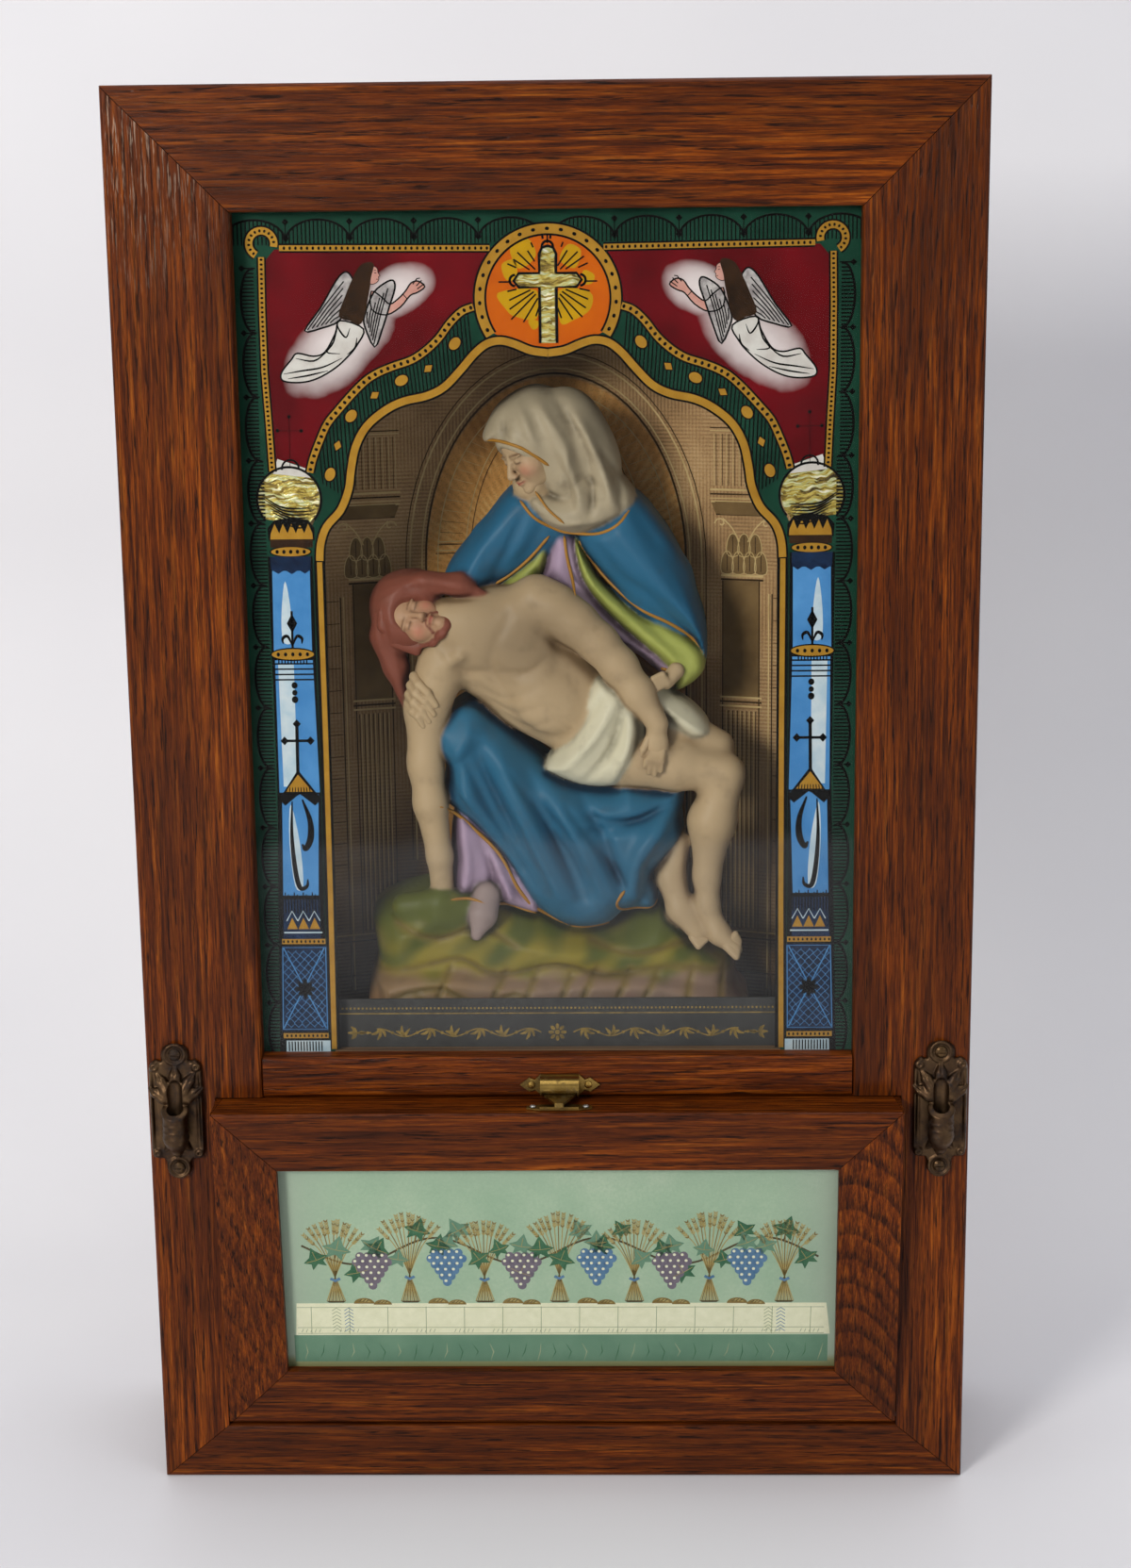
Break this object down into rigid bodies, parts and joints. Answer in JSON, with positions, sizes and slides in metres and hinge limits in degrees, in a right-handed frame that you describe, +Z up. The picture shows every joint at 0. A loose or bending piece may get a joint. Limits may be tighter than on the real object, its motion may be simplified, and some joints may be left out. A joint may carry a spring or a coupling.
{
  "type": "sick call cabinet",
  "caption": "Oak devotional wall cabinet with a glazed, arched display above, a drop-front storage compartment below, a sprung latch and candle-arm sockets.",
  "frame": {"origin": "middle of the base: under the centre of the overall box, on the surface the cabinet stands on", "axes": "+Z up, +Y to the wall behind, +X to the viewer's right, so the glass and the drop front face -Y"},
  "size_m": [0.406, 0.1364, 0.692],
  "materials": {
    "oak": "dark reddish-brown stained oak under worn satin shellac",
    "softwood": "plain unvarnished softwood, aged",
    "glass": "thin old window glass",
    "reverse_paint": "dark green and crimson reverse painting with gold lines",
    "pearl_foil": "crinkled pearly foil",
    "backdrop_print": "printed card in warm browns",
    "caption_print": "dark grey card with gold ornament",
    "frieze_print": "sea-green printed card",
    "plaster": "matt painted plaster in flesh, blue, lilac and green",
    "bronze": "cast and dark with age",
    "brass": "old tarnished brass",
    "steel": "plain drawn steel"
  },
  "bodies": {
    "cabinet": {"side_left": "oak", "side_right": "oak", "bottom_board": "oak", "divider_shelf": "oak", "top_board": "oak", "back_panel": "softwood", "frame_stile_left": "oak", "frame_stile_right": "oak", "frame_top_rail": "oak", "frame_mid_rail": "oak", "frame_sill": "oak", "display_glass": "glass", "painted_layer": "reverse_paint", "pearl_cross": "pearl_foil", "pearl_dome_left": "pearl_foil", "pearl_dome_right": "pearl_foil", "glazing_bead_bottom": "softwood", "glazing_bead_top": "softwood", "glazing_bead_left": "softwood", "glazing_bead_right": "softwood", "backdrop_card": "backdrop_print", "caption_strip": "caption_print", "relief_group": "plaster", "sconce_left": "bronze", "sconce_right": "bronze", "sconce_left_screw_top": "brass", "sconce_left_screw_bottom": "brass", "sconce_right_screw_top": "brass", "sconce_right_screw_bottom": "brass", "latch_housing": "brass", "latch_pin": "steel", "latch_spring": "steel", "latch_screw_left": "brass", "latch_screw_right": "brass", "door_stop": "oak", "pivot_pin_left": "steel", "pivot_pin_right": "steel", "stay_guide_left": "brass", "stay_guide_right": "brass", "wall_hanger_left": "brass", "wall_hanger_right": "brass"},
    "drop_front": {"door_stile_left": "oak", "door_stile_right": "oak", "door_top_rail": "oak", "door_bottom_rail": "oak", "door_glass": "glass", "print_card": "frieze_print", "door_backing": "softwood", "pivot_bush_left": "brass", "pivot_bush_right": "brass", "stay_arm_left": "brass", "stay_arm_right": "brass", "strike_plate": "brass", "strike_screw_left": "brass", "strike_screw_right": "brass"},
    "latch": {"latch_tongue": "brass"}
  },
  "joints": [
    {"name": "drop_front_hinge", "type": "hinge", "parent": "cabinet", "child": "drop_front", "pos_m": [0, -0.04183, 0.033], "axis": [1, 0, 0], "range_deg": [0, 90]},
    {"name": "latch_pivot", "type": "hinge", "parent": "cabinet", "child": "latch", "pos_m": [0.0015, -0.05083, 0.21177], "axis": [-1, 0, 0], "range_deg": [-5, 12], "stiffness_Nm_per_rad": 0.05}
  ]
}
